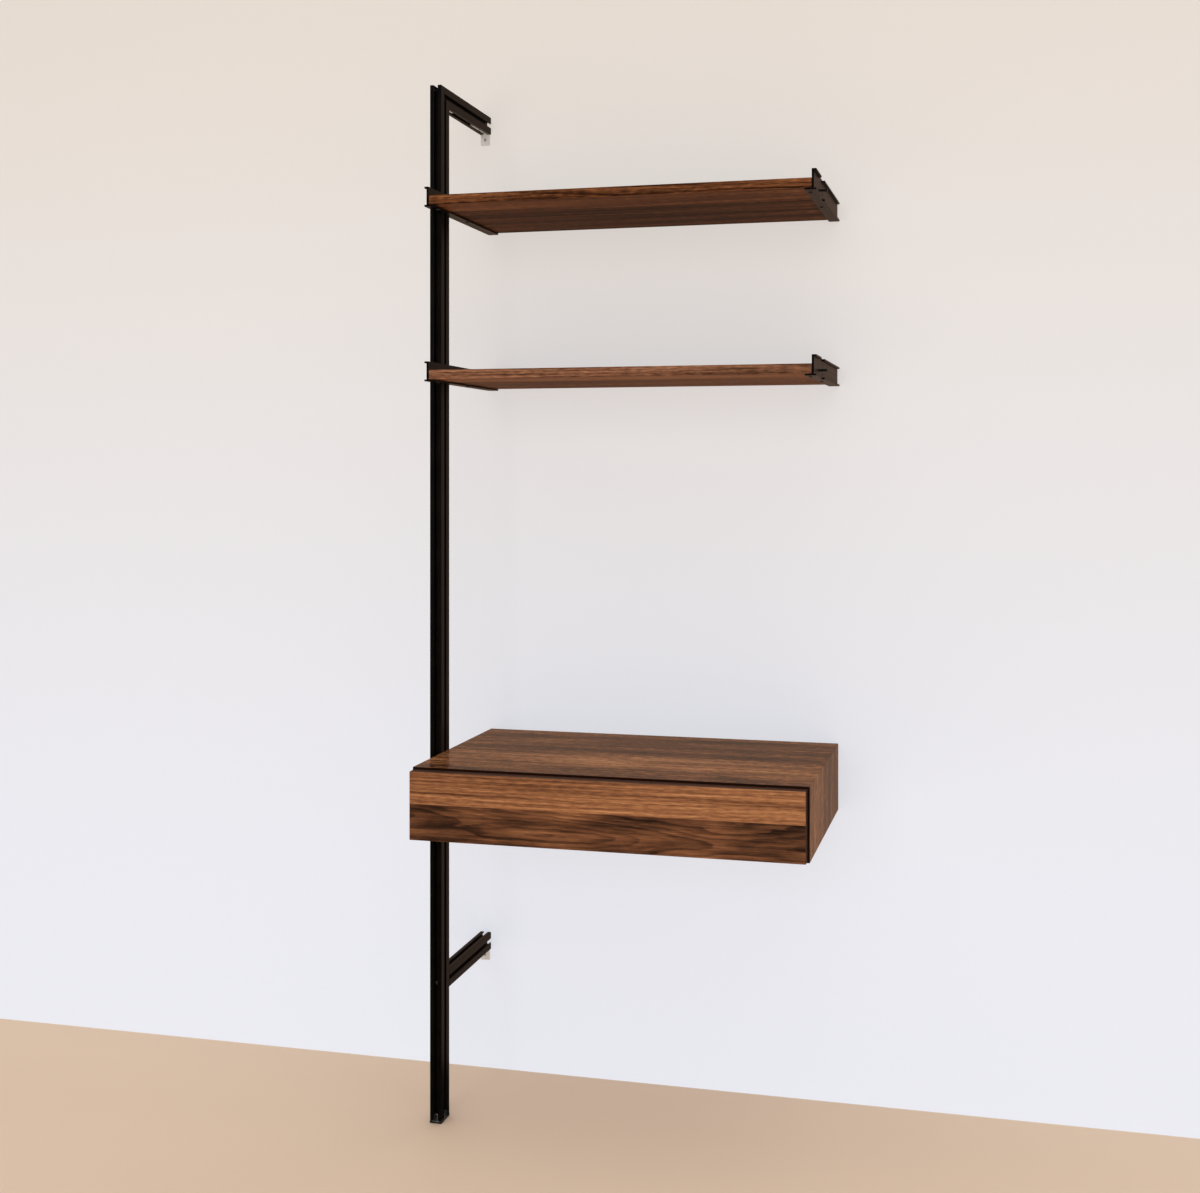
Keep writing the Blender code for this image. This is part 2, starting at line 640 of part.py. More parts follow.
def build_slides():
    """Three nested members a side: one on the case, one between, one on the drawer."""
    step = SLIDE_SHEET + SLIDE_RACE_GAP
    half = SLIDE_HEIGHT / 2
    between = []
    moving = []
    for side, case_face, inward in (("left", CASE_INNER_LEFT, 1), ("right", CASE_INNER_RIGHT, -1)):
        case_web = case_face + inward * CONTACT_GAP
        middle_web = case_web + inward * step
        drawer_web = case_face + inward * (SLIDE_THICKNESS - CONTACT_GAP)
        usable = SLIDE_THICKNESS - 2 * CONTACT_GAP - step
        case_outline = channel(case_web, inward, usable, half)
        prism(f"slide_{side}_case_member", case_outline, "Y", SLIDE_FRONT, SLIDE_END, ZINC)
        middle_outline = channel(middle_web, inward, usable - step, half - step)
        name = f"slide_{side}_middle_member"
        between.append(prism(name, middle_outline, "Y", SLIDE_FRONT, SLIDE_END, ZINC))
        drawer_outline = channel(drawer_web, -inward, usable - step, half - 2 * step)
        name = f"slide_{side}_drawer_member"
        moving.append(prism(name, drawer_outline, "Y", SLIDE_FRONT, SLIDE_END, ZINC))
    return between, moving


clear_scene()
build_frame()
build_mitre_key()
build_wall_bracket("upper_wall_bracket", TOP_ARM_UNDERSIDE)
build_wall_bracket("lower_wall_bracket", LOWER_ARM_HEIGHT)
build_foot_cap()
build_shelf("upper_shelf", UPPER_SHELF_TOP)
build_shelf("lower_shelf", LOWER_SHELF_TOP)
build_case()
drawer_pieces = build_drawer()
middle_members, drawer_members = build_slides()
drawer_middle = (DRAWER_LEFT + DRAWER_RIGHT) / 2
slide_centre = (drawer_middle, SLIDE_FRONT, SLIDE_MIDDLE)
hang_on(motion_empty("drawer_motion", slide_centre), drawer_pieces + drawer_members)
hang_on(motion_empty("middle_motion", slide_centre), middle_members)
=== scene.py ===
"""Looks of a wall-held desk with shelves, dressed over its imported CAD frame.

Metres, +Z up, in the frame's own axes: +X runs along the wall to the free end, +Y runs into the wall.
"""

from math import cos, pi, radians, sin

import bmesh
import bpy
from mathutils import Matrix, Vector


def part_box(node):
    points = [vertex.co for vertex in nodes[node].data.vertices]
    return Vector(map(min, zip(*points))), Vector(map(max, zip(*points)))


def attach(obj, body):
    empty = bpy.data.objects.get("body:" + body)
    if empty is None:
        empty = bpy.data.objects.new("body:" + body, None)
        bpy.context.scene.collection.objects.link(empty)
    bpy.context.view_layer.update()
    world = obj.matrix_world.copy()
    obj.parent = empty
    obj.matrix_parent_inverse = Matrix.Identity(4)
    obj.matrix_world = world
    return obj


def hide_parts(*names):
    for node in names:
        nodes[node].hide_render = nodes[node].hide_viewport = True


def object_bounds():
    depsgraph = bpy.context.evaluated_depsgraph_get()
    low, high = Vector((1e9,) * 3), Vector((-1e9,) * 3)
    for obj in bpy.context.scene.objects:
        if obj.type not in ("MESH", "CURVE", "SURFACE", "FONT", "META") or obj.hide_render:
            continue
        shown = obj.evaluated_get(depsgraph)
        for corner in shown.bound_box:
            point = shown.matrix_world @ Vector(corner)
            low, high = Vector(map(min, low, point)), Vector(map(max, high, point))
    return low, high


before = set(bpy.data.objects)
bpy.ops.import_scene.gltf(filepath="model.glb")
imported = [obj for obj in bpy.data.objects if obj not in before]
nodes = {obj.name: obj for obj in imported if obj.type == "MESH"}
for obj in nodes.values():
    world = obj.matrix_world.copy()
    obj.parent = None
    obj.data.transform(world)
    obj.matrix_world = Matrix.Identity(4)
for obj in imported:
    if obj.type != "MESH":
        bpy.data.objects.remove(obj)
cad_low, cad_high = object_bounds()


# Upright and arms
# Extruded aluminium bars with a T-slot in every face, sawn to length and black anodised.
# The top arm meets the upright in a keyed mitre; the lower arm is butted on and held by an end screw.
# The die leaves fine lines along each bar, and handling wears the sharp corners a little paler.

X, Y, Z = range(3)
ANODISED_DEEP = (0.0018, 0.0012, 0.0009, 1.0)
ANODISED_PALE = (0.0046, 0.0031, 0.0024, 1.0)
ANODISED_WORN = (0.0300, 0.0240, 0.0200, 1.0)
ANODISED_TINT_SPAN = (0.12, 0.40)
ANODISED_ROUGHNESS = (0.30, 0.42)
ANODISED_SPECULAR = 0.30
# Noise is counted in grains per metre. A pair gives those across the lines and those along them.
DIE_LINES = (1100.0, 1.6)
DIE_LINE_DETAIL = 3.0
DIE_LINE_SPAN = (0.25, 0.75)
DIE_LINE_DEPTH = 0.000012
CLOUDS = 23.0
WEAR_RADIUS = 0.0007
# Cosine between the true face and a rounded one, from no edge mark to a full one.
EDGE_MARK_TURN = (0.99, 0.80)
EDGE_MARK_PATCHES = 150.0
EDGE_MARK_PATCH_DETAIL = 4.0
EDGE_MARK_PATCH_SPAN = (0.42, 0.62)


def shader_node(tree, kind, inputs=None, **options):
    """Add a node, set its options, then fill or link its inputs."""
    made = tree.nodes.new("ShaderNode" + kind)
    for name, value in options.items():
        setattr(made, name, value)
    for socket, value in (inputs or {}).items():
        if isinstance(value, bpy.types.NodeSocket):
            tree.links.new(value, made.inputs[socket])
        else:
            made.inputs[socket].default_value = value
    return made


def reckon(tree, operation, *values):
    """Result of one Math node."""
    return shader_node(tree, "Math", dict(enumerate(values)), operation=operation).outputs[0]


def remap(tree, value, span, new_span=(0.0, 1.0)):
    """Value carried smoothly from one span to another and held at its ends."""
    ends = {"From Min": span[0], "From Max": span[1], "To Min": new_span[0], "To Max": new_span[1]}
    made = shader_node(tree, "MapRange", {"Value": value, **ends}, interpolation_type="SMOOTHSTEP")
    return made.outputs["Result"]


def blend_colours(tree, share, first, second):
    """Colour between two others."""
    made = shader_node(tree, "Mix", {0: share, 6: first, 7: second}, data_type="RGBA")
    return made.outputs[2]


def stretched_noise(tree, place, stretch, detail=2.0):
    """Noise of 0 to 1, with its own number of grains per metre in each direction."""
    scaled = shader_node(tree, "VectorMath", {0: place, 1: stretch}, operation="MULTIPLY")
    made = shader_node(tree, "TexNoise", {"Vector": scaled.outputs[0], "Scale": 1.0, "Detail": detail})
    return made.outputs["Fac"]


def stretch_along(axis, grains):
    """Grains per metre on each axis, from a pair of those across one axis and those along it."""
    across, along = grains
    return [along if each == axis else across for each in (X, Y, Z)]


def effect_group(name, inputs, outputs):
    """Empty node group with named sockets: its tree, its inputs and its output node."""
    tree = bpy.data.node_groups.new(name, "ShaderNodeTree")
    for socket, kind in inputs.items():
        tree.interface.new_socket(socket, in_out="INPUT", socket_type="NodeSocket" + kind)
    for socket, kind in outputs.items():
        tree.interface.new_socket(socket, in_out="OUTPUT", socket_type="NodeSocket" + kind)
    return tree, tree.nodes.new("NodeGroupInput").outputs, tree.nodes.new("NodeGroupOutput")


def place_group(tree, group, inputs):
    """Put a node group in a material and return its outputs."""
    return shader_node(tree, "Group", inputs, node_tree=group).outputs


def new_material(name):
    """Material with an empty Principled shader: its tree, the shader and the piece's own coordinates."""
    material = bpy.data.materials.new(name)
    material.use_nodes = True
    tree = material.node_tree
    place = shader_node(tree, "TexCoord").outputs["Object"]
    return material, tree, tree.nodes["Principled BSDF"], place


def feed_shader(tree, shader, **sockets):
    """Link varying values to the shader, named with _ for a space."""
    for name, value in sockets.items():
        tree.links.new(value, shader.inputs[name.replace("_", " ")])


def bump(tree, height, depth):
    """Normal raised by a height map of 0 to 1, with its full depth in metres."""
    made = shader_node(tree, "Bump", {"Height": height, "Distance": depth, "Strength": 1.0})
    return made.outputs["Normal"]


def dress(material, *names):
    """Give CAD nodes a material in place of their plain one."""
    for name in names:
        nodes[name].data.materials.clear()
        nodes[name].data.materials.append(material)


die_lines, given, result = effect_group(
    "die_lines", {"Place": "Vector", "Stretch": "Vector"}, {"Line": "Float", "Cloud": "Float"}
)
line = stretched_noise(die_lines, given["Place"], given["Stretch"], DIE_LINE_DETAIL)
cloud = stretched_noise(die_lines, given["Place"], [CLOUDS] * 3)
die_lines.links.new(line, result.inputs["Line"])
die_lines.links.new(cloud, result.inputs["Cloud"])

# Pale edge marks: real wear on the metal parts, and a painted highlight on the foot cap.
edge_wear_and_glint, given, result = effect_group(
    "edge_wear_and_glint", {"Place": "Vector", "Radius": "Float"}, {"WearAndGlint": "Float"}
)
rounded = shader_node(edge_wear_and_glint, "Bevel", {"Radius": given["Radius"]}, samples=4).outputs["Normal"]
plain = shader_node(edge_wear_and_glint, "NewGeometry").outputs["Normal"]
turned = shader_node(edge_wear_and_glint, "VectorMath", {0: rounded, 1: plain}, operation="DOT_PRODUCT")
corner = remap(edge_wear_and_glint, turned.outputs["Value"], EDGE_MARK_TURN)
patch = stretched_noise(edge_wear_and_glint, given["Place"], [EDGE_MARK_PATCHES] * 3, EDGE_MARK_PATCH_DETAIL)
wear_and_glint = reckon(edge_wear_and_glint, "MULTIPLY", corner, remap(edge_wear_and_glint, patch, EDGE_MARK_PATCH_SPAN))
edge_wear_and_glint.links.new(wear_and_glint, result.inputs["WearAndGlint"])


def anodised(name, along, roughness_span, specular):
    """Black anodised extrusion whose die lines run along one axis."""
    material, tree, shader, place = new_material(name)
    lines = place_group(tree, die_lines, {"Place": place, "Stretch": stretch_along(along, DIE_LINES)})
    wear_and_glint = place_group(tree, edge_wear_and_glint, {"Place": place, "Radius": WEAR_RADIUS})["WearAndGlint"]
    tint = reckon(tree, "MULTIPLY", lines["Line"], lines["Cloud"])
    shade = blend_colours(tree, remap(tree, tint, ANODISED_TINT_SPAN), ANODISED_DEEP, ANODISED_PALE)
    worn = blend_colours(tree, wear_and_glint, shade, ANODISED_WORN)
    roughness = remap(tree, lines["Line"], DIE_LINE_SPAN, roughness_span)
    normal = bump(tree, lines["Line"], DIE_LINE_DEPTH)
    feed_shader(tree, shader, Base_Color=worn, Roughness=roughness, Normal=normal)
    shader.inputs["Specular IOR Level"].default_value = specular
    return material


dress(anodised("anodised_upright", Z, ANODISED_ROUGHNESS, ANODISED_SPECULAR), "upright")
dress(anodised("anodised_arms", Y, ANODISED_ROUGHNESS, ANODISED_SPECULAR), "top_arm", "lower_arm")


# Mitre key and wall brackets
# Bent steel strip, zinc plated bright: the L-shaped key lies in the slots round the mitre, and each wall
# bracket has a leg in an arm's lower slot and a drilled plate flat on the wall. Grub screws clamp them.

ZINC_DULL = (0.68, 0.67, 0.65, 1.0)
ZINC_BRIGHT = (0.90, 0.89, 0.87, 1.0)
ZINC_ROUGHNESS = (0.52, 0.34)
ZINC_SPAN = (0.35, 0.85)
ZINC_RELIEF = 0.00001
ROLLED_LINES = (700.0, 18.0)
CRYSTALS = 900.0
CRYSTAL_SHARE = 0.35
STRIP_METALLIC = 0.15


def zinc_plated(name, along, metallic):
    """Bright zinc over rolled strip: a fine crystalline mottle and rolling lines along one axis."""
    material, tree, shader, place = new_material(name)
    lines = place_group(tree, die_lines, {"Place": place, "Stretch": stretch_along(along, ROLLED_LINES)})
    crystals = shader_node(tree, "TexVoronoi", {"Vector": place, "Scale": CRYSTALS}).outputs["Distance"]
    mottle = reckon(tree, "MULTIPLY_ADD", crystals, CRYSTAL_SHARE, lines["Line"])
    shade = blend_colours(tree, remap(tree, mottle, ZINC_SPAN), ZINC_DULL, ZINC_BRIGHT)
    roughness = remap(tree, mottle, ZINC_SPAN, ZINC_ROUGHNESS)
    feed_shader(tree, shader, Base_Color=shade, Roughness=roughness, Normal=bump(tree, mottle, ZINC_RELIEF))
    shader.inputs["Metallic"].default_value = metallic
    return material


zinc_strip = zinc_plated("zinc_strip", Y, STRIP_METALLIC)
dress(zinc_strip, "mitre_key", "upper_wall_bracket", "lower_wall_bracket")


# Foot cap
# Moulded black plastic plate under the upright, with a tongue pushed up each slot mouth.
# The mould's fine spark texture leaves it matt. Its upper edge has a chamfer, coloured pale along its corners
# as a painted highlight for the light it catches.

FOOT_DEEP = (0.0060, 0.0058, 0.0056, 1.0)
FOOT_PALE = (0.0120, 0.0115, 0.0110, 1.0)
FOOT_PAINTED_GLINT = (0.6500, 0.6400, 0.6300, 1.0)
FOOT_GLINT_HEIGHTS = (0.0025, 0.0040)
FOOT_GLINT_RADIUS = 0.0010
FOOT_ROUGHNESS = (0.42, 0.58)
SPARKS = 2600.0
SPARK_DEPTH = 0.00004
SCUFFS = (90.0, 90.0, 30.0)
SCUFF_DETAIL = 4.0
SCUFF_TINT_SPAN = (0.40, 0.75)
SCUFF_ROUGH_SPAN = (0.30, 0.70)


def coordinate(tree, place, axis):
    """One coordinate of a place or a direction."""
    return shader_node(tree, "SeparateXYZ", {0: place}).outputs[axis]


foot_plastic, tree, shader, place = new_material("foot_plastic")
sparks = stretched_noise(tree, place, [SPARKS] * 3)
scuffs = stretched_noise(tree, place, SCUFFS, SCUFF_DETAIL)
shade = blend_colours(tree, remap(tree, scuffs, SCUFF_TINT_SPAN), FOOT_DEEP, FOOT_PALE)
# Painted highlight: the chamfer's corners just above the floor are coloured pale to stand for glints of
# light.
wear_and_glint = place_group(tree, edge_wear_and_glint, {"Place": place, "Radius": FOOT_GLINT_RADIUS})["WearAndGlint"]
above_floor = remap(tree, coordinate(tree, place, Z), FOOT_GLINT_HEIGHTS)
shade = blend_colours(tree, reckon(tree, "MULTIPLY", wear_and_glint, above_floor), shade, FOOT_PAINTED_GLINT)
roughness = remap(tree, scuffs, SCUFF_ROUGH_SPAN, FOOT_ROUGHNESS)
feed_shader(tree, shader, Base_Color=shade, Roughness=roughness, Normal=bump(tree, sparks, SPARK_DEPTH))
dress(foot_plastic, "foot_cap")


# Shelf brackets
# Short lengths of a black anodised extrusion: a web, a ledge under the shelf, and flanges on the outer
# side that are notched to straddle an upright. They are etched smoother than the bars before anodising.

SHELVES = ("upper_shelf", "lower_shelf")
BRACKETS = [f"{shelf}_{side}_bracket" for shelf in SHELVES for side in ("left", "right")]
BRACKET_ROUGHNESS = (0.25, 0.34)
BRACKET_SPECULAR = 0.185

dress(anodised("anodised_brackets", Y, BRACKET_ROUGHNESS, BRACKET_SPECULAR), *BRACKETS)


# Hammer-head bolts and nuts
# Black oxide steel: each bolt's head turns behind the slot lips, and a nut pulls bracket or case tight. The
# shelf's end is pocketed over the nut. On the free brackets the bolts stand out, ready for a next upright.

OXIDE_DEEP = (0.0050, 0.0046, 0.0043, 1.0)
OXIDE_PALE = (0.0220, 0.0195, 0.0175, 1.0)
OXIDE_WORN = (0.0900, 0.0850, 0.0800, 1.0)
OXIDE_METALLIC = 0.6
OXIDE_WEAR_RADIUS = 0.0004
OXIDE_ROUGHNESS = (0.36, 0.52)
OXIDE_RELIEF = 0.00002
BLOTCHES = 400.0
BLOTCH_DETAIL = 4.0
BLOTCH_TINT_SPAN = (0.35, 0.70)
BLOTCH_ROUGH_SPAN = (0.30, 0.70)
WELD_DISTANCE = 0.000002
ROUNDED_ABOVE = radians(40.0)
NUT_ROUNDING = 0.0004
CASE_BOLTS = ["case_lower_tee_bolt", "case_upper_tee_bolt"]
BOLTS = [f"{bracket}_tee_bolt" for bracket in BRACKETS] + CASE_BOLTS
NUTS = [f"{bolt}_nut" for bolt in BOLTS]


def oxide_black(name, deep, pale, metallic):
    """Steel blackened in a salt bath: a blotchy stain, rubbed paler at its corners."""
    material, tree, shader, place = new_material(name)
    stain_and_shadow = stretched_noise(tree, place, [BLOTCHES] * 3, BLOTCH_DETAIL)
    wear_and_glint = place_group(tree, edge_wear_and_glint, {"Place": place, "Radius": OXIDE_WEAR_RADIUS})["WearAndGlint"]
    shade = blend_colours(tree, remap(tree, stain_and_shadow, BLOTCH_TINT_SPAN), deep, pale)
    worn = blend_colours(tree, wear_and_glint, shade, OXIDE_WORN)
    roughness = remap(tree, stain_and_shadow, BLOTCH_ROUGH_SPAN, OXIDE_ROUGHNESS)
    feed_shader(tree, shader, Base_Color=worn, Roughness=roughness, Normal=bump(tree, stain_and_shadow, OXIDE_RELIEF))
    shader.inputs["Metallic"].default_value = metallic
    return material


def soften(width, *names):
    """Round a CAD node's sharp edges with modifiers, which leave its own mesh as it is."""
    for name in names:
        weld = nodes[name].modifiers.new("weld", "WELD")
        weld.merge_threshold = WELD_DISTANCE
        rounding = nodes[name].modifiers.new("rounding", "BEVEL")
        rounding.width = width
        rounding.segments = 2
        rounding.limit_method = "ANGLE"
        rounding.angle_limit = ROUNDED_ABOVE


dress(oxide_black("black_oxide", OXIDE_DEEP, OXIDE_PALE, OXIDE_METALLIC), *BOLTS, *NUTS)
soften(NUT_ROUNDING, *NUTS)


# Ledge, grub, end and wall screws
# Steel screws turned from rod, each with a hexagon socket pressed in. Black oxide ones have domed heads under
# the ledges and in the upright's slot, and no heads in the mitre key and the wall brackets' legs.
# Zinc plated ones hold the brackets' plates to the wall.

SCREW_DEEP = (0.0300, 0.0255, 0.0225, 1.0)
SCREW_PALE = (0.0800, 0.0690, 0.0610, 1.0)
SCREW_METALLIC = 0.3
ZINC_METALLIC = 0.75
ROUND_STEPS = 24
SMOOTH_BELOW = radians(35.0)
# Shares of a quarter turn at which the dome has a ring, and its rise as a share of the head.
DOME_SHARES = (0.62, 0.75, 0.88, 1.0)
DOME_RISE = 0.8
TIP_SHARE = 0.25
GRUB_CHAMFER = 0.14
GRUB_CONE = 0.3
HEAD_SOCKET_DEPTH = 0.55
GRUB_SOCKET_DEPTH = 0.45
LEDGE_SCREWS = [f"{bracket}_{end}_screw" for bracket in BRACKETS for end in ("front", "rear")]
LEDGE_HEAD = 0.0020
LEDGE_SOCKET = 0.0025
GRUB_SCREWS = {
    "mitre_key_lower_grub_screw": (Y, 1), "mitre_key_upper_grub_screw": (Z, -1),
    "upper_wall_bracket_grub_screw": (Z, -1), "lower_wall_bracket_grub_screw": (Z, -1),
}
GRUB_SOCKET = 0.0020
END_HEAD = 0.0028
END_SOCKET = 0.0030
WALL_PLATE = 0.003
WALL_HEAD = 0.0020
WALL_HEAD_RADIUS = 0.0029
WALL_SHANK_RADIUS = 0.0021
WALL_SOCKET = 0.0025
RECESS_DEPTH = 0.0011

screw_oxide = oxide_black("screw_oxide", SCREW_DEEP, SCREW_PALE, SCREW_METALLIC)
zinc_bright = zinc_plated("zinc_bright", Y, ZINC_METALLIC)


def hexagon_socket(across_flats):
    """Radius of a hexagon at each step round a screw."""
    steps = [2 * pi * i / ROUND_STEPS for i in range(ROUND_STEPS)]
    return [across_flats / 2 / cos((step + pi / 6) % (pi / 3) - pi / 6) for step in steps]


def domed_outline(radius, head, shank, length):
    """Outline of a screw from its driven end, as (radius, depth) pairs: a low dome, a shank and a point."""
    dome = []
    for share in DOME_SHARES:
        angle = pi / 2 * share
        dome.append((radius * sin(angle), DOME_RISE * head * (1 - cos(angle))))
    return [*dome, (radius, head), (shank, head), (shank, length - shank), (shank * TIP_SHARE, length)]


def headless_outline(radius, length):
    """Outline of a grub screw from its driven end: a chamfer, a straight run and a short cone."""
    chamfer = radius * GRUB_CHAMFER
    cone = radius * GRUB_CONE
    return [(radius - chamfer, 0.0), (radius, chamfer), (radius, length - cone), (radius - cone, length)]


def turned_screw(name, body, start, axis, facing, outline, recess, depth, material):
    """Screw turned round one axis. Its driven end is at start and looks to the facing side, 1 or -1."""
    first, second = [each for each in (X, Y, Z) if each != axis]
    bm = bmesh.new()

    def ring(radii, level):
        """Points round the axis at one depth from the driven end."""
        points = []
        for i, radius in enumerate(radii):
            place = list(start)
            place[first] += radius * cos(2 * pi * i / ROUND_STEPS)
            place[second] += radius * sin(2 * pi * i / ROUND_STEPS)
            place[axis] -= facing * level
            points.append(bm.verts.new(place))
        return points

    mouth = outline[0][1]
    rings = [ring([0.0] * ROUND_STEPS, mouth + depth), ring(recess, mouth + depth), ring(recess, mouth)]
    rings += [ring([radius] * ROUND_STEPS, level) for radius, level in outline]
    for near, far in zip(rings, rings[1:]):
        for i in range(ROUND_STEPS):
            bm.faces.new((near[i - 1], near[i], far[i], far[i - 1]))
    bm.faces.new(rings[-1])
    bmesh.ops.pointmerge(bm, verts=rings[0], merge_co=rings[0][0].co)
    bmesh.ops.recalc_face_normals(bm, faces=bm.faces)
    mesh = bpy.data.meshes.new(name)
    bm.to_mesh(mesh)
    bm.free()
    mesh.shade_smooth()
    mesh.set_sharp_from_angle(angle=SMOOTH_BELOW)
    mesh.materials.append(material)
    screw = bpy.data.objects.new(name, mesh)
    bpy.context.scene.collection.objects.link(screw)
    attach(screw, body)
    return screw


def replace_screw(node, axis, facing, head, across_flats):
    """Socket screw in place of a CAD one. Its head is 0 high on a headless screw."""
    low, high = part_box(node)
    start = (low + high) / 2
    start[axis] = high[axis] if facing > 0 else low[axis]
    length = high[axis] - low[axis]
    radius = (high.x - low.x) / 2
    if head:
        outline = domed_outline(radius, head, radius / 2, length)
        depth = HEAD_SOCKET_DEPTH * head
    else:
        outline = headless_outline(radius, length)
        depth = GRUB_SOCKET_DEPTH * length
    screw = turned_screw(
        node + "_turned", "frame", start, axis, facing, outline, hexagon_socket(across_flats), depth,
        screw_oxide,
    )
    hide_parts(node)


for name in LEDGE_SCREWS:
    replace_screw(name, Z, -1, LEDGE_HEAD, LEDGE_SOCKET)
for name, (axis, facing) in GRUB_SCREWS.items():
    replace_screw(name, axis, facing, 0.0, GRUB_SOCKET)
replace_screw("lower_arm_screw", Y, -1, END_HEAD, END_SOCKET)

wall_outline = domed_outline(WALL_HEAD_RADIUS, WALL_HEAD, WALL_SHANK_RADIUS, WALL_HEAD + WALL_PLATE)
for bracket, arm in (("upper_wall_bracket", "top_arm"), ("lower_wall_bracket", "lower_arm")):
    hole_height = (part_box(bracket)[0].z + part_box(arm)[0].z) / 2
    start = (0.0, cad_high.y - WALL_PLATE - WALL_HEAD, hole_height)
    turned_screw(
        bracket + "_wall_screw", "frame", start, Y, -1, wall_outline, hexagon_socket(WALL_SOCKET),
        RECESS_DEPTH, zinc_bright,
    )


# Shelves
# Walnut boards, edge-glued from a few staves of unlike colour, with a thin strip along the front edge that
# is greyer on the lower shelf. They are sanded and oiled satin, lie on the brackets' ledges and are held
# by the ledge screws from below.

WALNUT_TONES = [
    (0.00, (0.0150, 0.0056, 0.0026, 1.0)),
    (0.20, (0.0440, 0.0162, 0.0066, 1.0)),
    (0.40, (0.1160, 0.0420, 0.0165, 1.0)),
    (0.60, (0.2150, 0.0820, 0.0320, 1.0)),
    (0.80, (0.3550, 0.1450, 0.0550, 1.0)),
    (1.00, (0.5200, 0.2450, 0.1020, 1.0)),
]
# The log: each stave is cut from its own length of it, beside or through its heart.
LOG_LENGTH = 8.0
RING_SPACING = 0.0058
STRAIGHT_OFFSET = 0.16
HEART_DEPTH = 0.024
HEART_WANDER = 0.06
TRUNK_TAPER = 0.035
TRUNK_SWAY = 0.075
TRUNK_RIPPLE = 0.006
# Where in a ring's year the wood darkens and where it ends, and the least that a ring darkens.
LATE_RISE = (0.20, 0.86)
LATE_END = (0.90, 1.0)
LATE_LEAST = 0.25
# Marks in the wood: grains per metre along and across the log, and detail.
SWAY_MARKS = (1.35, 11.0, 1.5)
RIPPLE_MARKS = (16.0, 60.0, 1.0)
FIBRE_MARKS = (7.0, 900.0, 3.0)
FIGURE_MARKS = {
    "Streaks": (1.7, 180.0, 3.0), "Bands": (1.1, 26.0, 1.0),
    "Mottle": (6.0, 38.0, 2.0), "Flecks": (48.0, 290.0, 3.0),
}
PORES = (70.0, 2600.0, 2600.0)
PORE_DETAIL = 1.0
PORE_SPAN = (0.60, 0.72)
# How far each mark shifts the tone, the roughness and the relief.
FIBRE_TONE = 0.55
LATE_TONE = -0.24
PORE_TONE = -0.10
TONE_LIFT = 0.06
FIBRE_ROUGHNESS = 0.20
PORE_ROUGHNESS = 0.18
FIBRE_RELIEF = 0.5
PORE_RELIEF = -0.5
RELIEF_LEVEL = 0.7
GRAIN_DEPTH = 0.00006


def colour_ramp(tree, factor, stops, steps="LINEAR"):
    """Outputs of a colour ramp through (position, colour) stops."""
    made = shader_node(tree, "ValToRGB", {"Fac": factor})
    ramp = made.color_ramp
    ramp.interpolation = steps
    for position, colour in stops[1:-1]:
        ramp.elements.new(position).color = colour
    ramp.elements[0].position, ramp.elements[0].color = stops[0]
    ramp.elements[-1].position, ramp.elements[-1].color = stops[-1]
    return made.outputs


walnut_figure, given, result = effect_group(
    "walnut_figure",
    dict.fromkeys(
        ("Along", "Across", "Through", "Tone", "Swirl", "Heart", "Log", *FIGURE_MARKS, "Satin"), "Float"
    ),
    {"Color": "Color", "Roughness": "Float", "Height": "Float"},
)
tree = walnut_figure
own_log = reckon(tree, "MULTIPLY_ADD", given["Log"], LOG_LENGTH, given["Along"])
log = shader_node(tree, "CombineXYZ", {0: own_log, 1: given["Across"], 2: given["Through"]}).outputs[0]


def log_marks(along, across, detail):
    """Noise of -0.5 to 0.5 that runs along the log."""
    noise = stretched_noise(walnut_figure, log, (along, across, across), detail)
    return reckon(walnut_figure, "SUBTRACT", noise, 0.5)


calm = reckon(tree, "SUBTRACT", 1.0, given["Swirl"])
aside = reckon(tree, "SUBTRACT", given["Across"], given["Heart"])
aside = reckon(tree, "MULTIPLY_ADD", calm, STRAIGHT_OFFSET, aside)
below = reckon(tree, "MULTIPLY_ADD", own_log, TRUNK_TAPER, given["Through"])
below = reckon(tree, "PINGPONG", below, HEART_WANDER)
below = reckon(tree, "MULTIPLY_ADD", log_marks(*SWAY_MARKS), TRUNK_SWAY, below)
below = reckon(tree, "ADD", below, HEART_DEPTH)
below = reckon(tree, "MULTIPLY_ADD", log_marks(*RIPPLE_MARKS), TRUNK_RIPPLE, below)
square = reckon(tree, "MULTIPLY_ADD", aside, aside, reckon(tree, "MULTIPLY", below, below))
rings = reckon(tree, "DIVIDE", reckon(tree, "SQRT", square), RING_SPACING)
season = reckon(tree, "FRACT", rings)
year = shader_node(tree, "TexWhiteNoise", {"W": reckon(tree, "FLOOR", rings)}, noise_dimensions="1D")
late = remap(tree, season, LATE_RISE)
late = reckon(tree, "MULTIPLY", late, remap(tree, season, LATE_END, (1.0, 0.0)))
strength = reckon(tree, "MULTIPLY_ADD", year.outputs["Value"], 1.0 - LATE_LEAST, LATE_LEAST)
late = reckon(tree, "MULTIPLY", late, strength)
fibre = log_marks(*FIBRE_MARKS)
pore = remap(tree, stretched_noise(tree, log, PORES, PORE_DETAIL), PORE_SPAN)
tone = reckon(tree, "MULTIPLY_ADD", fibre, FIBRE_TONE, given["Tone"])
for quality, marks in FIGURE_MARKS.items():
    tone = reckon(tree, "MULTIPLY_ADD", log_marks(*marks), given[quality], tone)
tone = reckon(tree, "MULTIPLY_ADD", late, LATE_TONE, tone)
tone = reckon(tree, "MULTIPLY_ADD", pore, PORE_TONE, reckon(tree, "ADD", tone, TONE_LIFT))
tree.links.new(colour_ramp(tree, tone, WALNUT_TONES)["Color"], result.inputs["Color"])
gloss = reckon(tree, "MULTIPLY_ADD", fibre, FIBRE_ROUGHNESS, given["Satin"])
